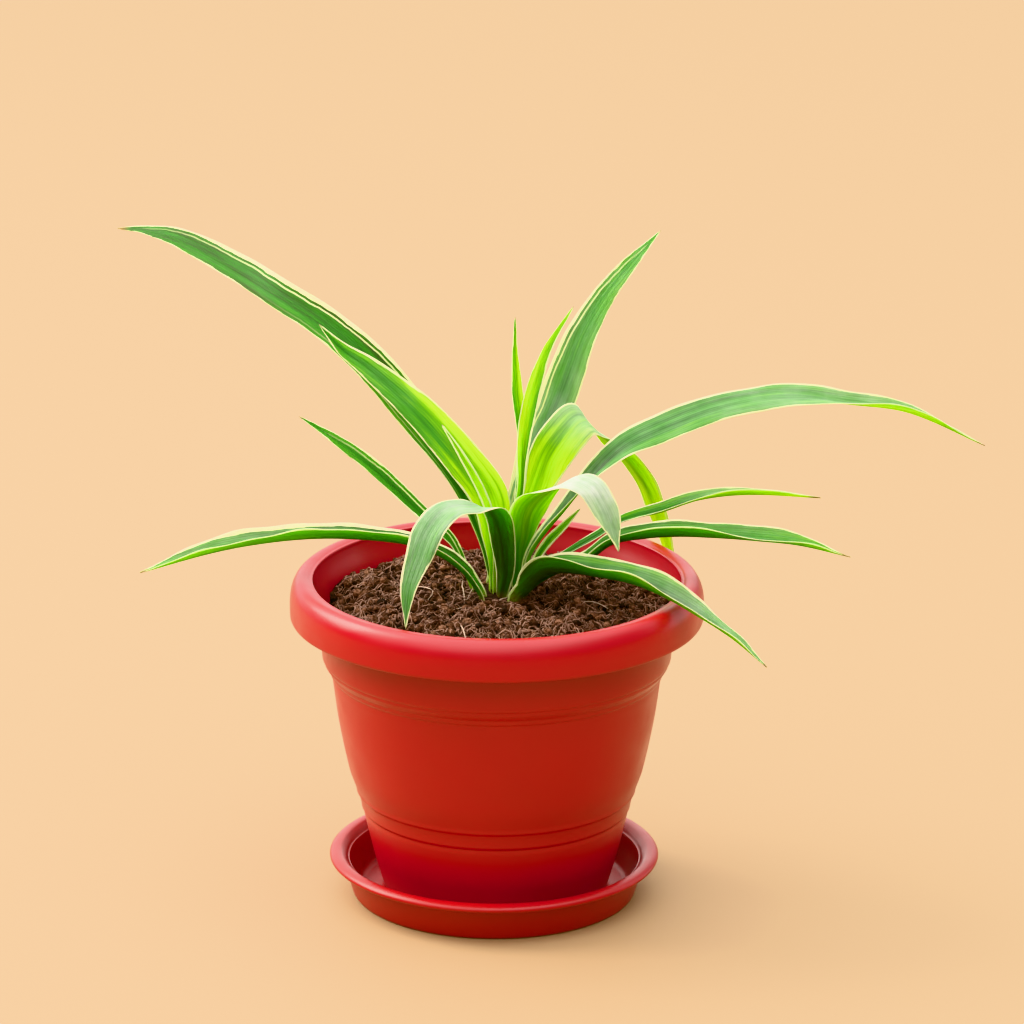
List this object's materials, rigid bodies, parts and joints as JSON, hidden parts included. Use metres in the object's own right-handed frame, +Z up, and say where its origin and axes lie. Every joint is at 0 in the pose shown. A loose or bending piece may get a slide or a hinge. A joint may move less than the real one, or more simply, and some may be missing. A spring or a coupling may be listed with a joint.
{
  "type": "potted spider plant",
  "caption": "Spider plant with long arching cream-edged leaves, rooted in coir soil in a round plastic pot on its saucer.",
  "frame": {"origin": "on the pot's axis, at the underside of the saucer", "axes": "+Z up, +X to the right and +Y to the back as the plant is seen from its front"},
  "size_m": [0.4307, 0.2804, 0.3095],
  "materials": {
    "pot_plastic": "moulded, satin",
    "saucer_plastic": "moulded, satin",
    "soil": "loose fibrous coir and peat",
    "rootstock": "fleshy, matt",
    "leaf": "waxy, with cream margins"
  },
  "bodies": {
    "root": {"pot": "pot_plastic", "saucer": "saucer_plastic", "soil": "soil", "crown": "rootstock", "leaf_left_long": "leaf", "leaf_left_broad": "leaf", "leaf_left_young": "leaf", "leaf_left_slanted": "leaf", "leaf_left_level": "leaf", "leaf_front_folded": "leaf", "leaf_front_arching": "leaf", "leaf_front_rim": "leaf", "leaf_right_long": "leaf", "leaf_right_upper": "leaf", "leaf_right_lower": "leaf", "leaf_tall_right": "leaf", "leaf_back_broad": "leaf", "leaf_upright_slim": "leaf", "leaf_upright_young": "leaf", "leaf_short_pointed": "leaf"}
  },
  "joints": []
}
